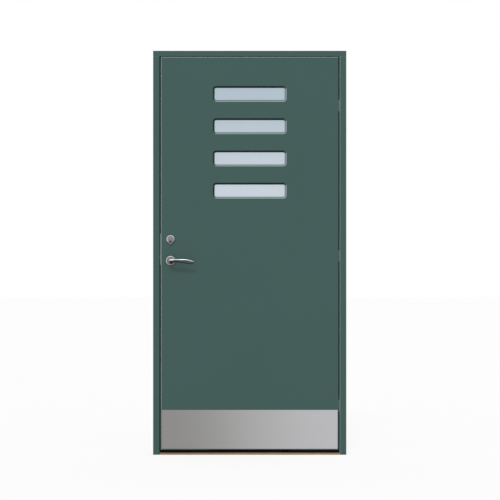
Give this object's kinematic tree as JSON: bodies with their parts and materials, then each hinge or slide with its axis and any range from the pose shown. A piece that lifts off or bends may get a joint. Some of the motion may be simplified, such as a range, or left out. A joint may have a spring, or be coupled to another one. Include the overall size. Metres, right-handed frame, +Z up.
{
  "type": "flush front door in its frame",
  "caption": "Flush outward-opening front door in a painted frame, with narrow horizontal windows, steel kick plate, lever handle, cylinder lock and oak threshold.",
  "frame": {"origin": "middle of the frame's base at floor level, on the threshold's underside", "axes": "+X to the right seen from outside, towards the hinges; +Y into the building; +Z up"},
  "size_m": [0.995, 0.181, 2.08],
  "materials": {
    "paint": "grey-green satin paint on wood board",
    "oak": "oiled oak",
    "pine": "pine, painted where it shows on the leaf's edge",
    "insulation": "light insulating board, sealed inside",
    "rubber": "matte",
    "glass": "frosted",
    "spacer": "plain",
    "brushed_steel": "brushed along its length",
    "satin_chrome": "satin",
    "zinc": "zinc-plated",
    "screws": "zinc-plated"
  },
  "bodies": {
    "frame": {"frame_head": "paint", "lock_jamb": "paint", "hinge_jamb": "paint", "threshold": "oak", "frame_seal": "rubber", "threshold_seal": "rubber", "strike_plate": "brushed_steel", "strike_plate_screws": "screws", "hinge_bracket_top": "zinc", "hinge_bracket_middle": "zinc", "hinge_bracket_bottom": "zinc", "hinge_pins": "zinc", "hinge_bracket_screws": "screws", "frame_fixing_sleeves": "zinc", "fixing_cover_caps": "paint"},
    "leaf": {"outer_skin": "paint", "inner_skin": "paint", "lock_stile": "pine", "hinge_stile": "pine", "top_rail": "pine", "bottom_rail": "pine", "insulation_core": "insulation", "outer_pane_1": "glass", "outer_pane_2": "glass", "outer_pane_3": "glass", "outer_pane_4": "glass", "inner_pane_1": "glass", "inner_pane_2": "glass", "inner_pane_3": "glass", "inner_pane_4": "glass", "pane_spacers": "spacer", "glazing_bead_1": "paint", "glazing_bead_2": "paint", "glazing_bead_3": "paint", "glazing_bead_4": "paint", "kick_plate": "brushed_steel", "lock_case": "zinc", "lock_case_cover": "zinc", "forend": "brushed_steel", "forend_screws": "screws", "outside_rose": "satin_chrome", "inside_rose": "satin_chrome", "thumbturn_rose": "satin_chrome", "cylinder_ring": "satin_chrome", "cylinder_body": "satin_chrome", "hinge_arm_top": "zinc", "hinge_arm_middle": "zinc", "hinge_arm_bottom": "zinc", "hinge_arm_screws": "screws", "latch_spring": "zinc"},
    "handle": {"outside_lever": "satin_chrome", "inside_lever": "satin_chrome", "spindle": "zinc", "follower": "zinc"},
    "latch": {"latch_bolt": "zinc"},
    "deadbolt": {"deadbolt": "zinc"},
    "cylinder_plug": {"cylinder_plug": "satin_chrome"},
    "thumbturn": {"thumbturn": "satin_chrome", "lock_cam": "zinc"}
  },
  "joints": [
    {"name": "leaf_swing", "type": "hinge", "parent": "frame", "child": "leaf", "pos_m": [0.4795, -0.0385, 1.025], "axis": [0, 0, 1], "range_deg": [0, 105]},
    {"name": "handle_turn", "type": "hinge", "parent": "leaf", "child": "handle", "pos_m": [-0.4075, -0.0525, 1], "axis": [0, 1, 0], "range_deg": [0, 40], "stiffness_Nm_per_rad": 1.2, "springref_deg": -28.65},
    {"name": "latch_slide", "type": "slide", "parent": "leaf", "child": "latch", "axis": [1, 0, 0], "range_m": [0, 0.012], "deforming": ["latch_spring"]},
    {"name": "thumbturn_turn", "type": "hinge", "parent": "leaf", "child": "thumbturn", "pos_m": [-0.4075, 0.0095, 1.097], "axis": [0, 1, 0], "range_deg": [0, 90]},
    {"name": "deadbolt_throw", "type": "slide", "parent": "leaf", "child": "deadbolt", "axis": [-1, 0, 0], "range_m": [0, 0.018]},
    {"name": "cylinder_plug_turn", "type": "hinge", "parent": "leaf", "child": "cylinder_plug", "pos_m": [-0.4075, -0.0525, 1.097], "axis": [0, 1, 0], "range_deg": [0, 90]}
  ],
  "couplings": [
    {"joint": "latch_slide", "follows": "handle_turn", "m_per_rad": 0.01718},
    {"joint": "deadbolt_throw", "follows": "thumbturn_turn", "m_per_rad": 0.011459},
    {"joint": "cylinder_plug_turn", "follows": "thumbturn_turn", "ratio": 1}
  ]
}
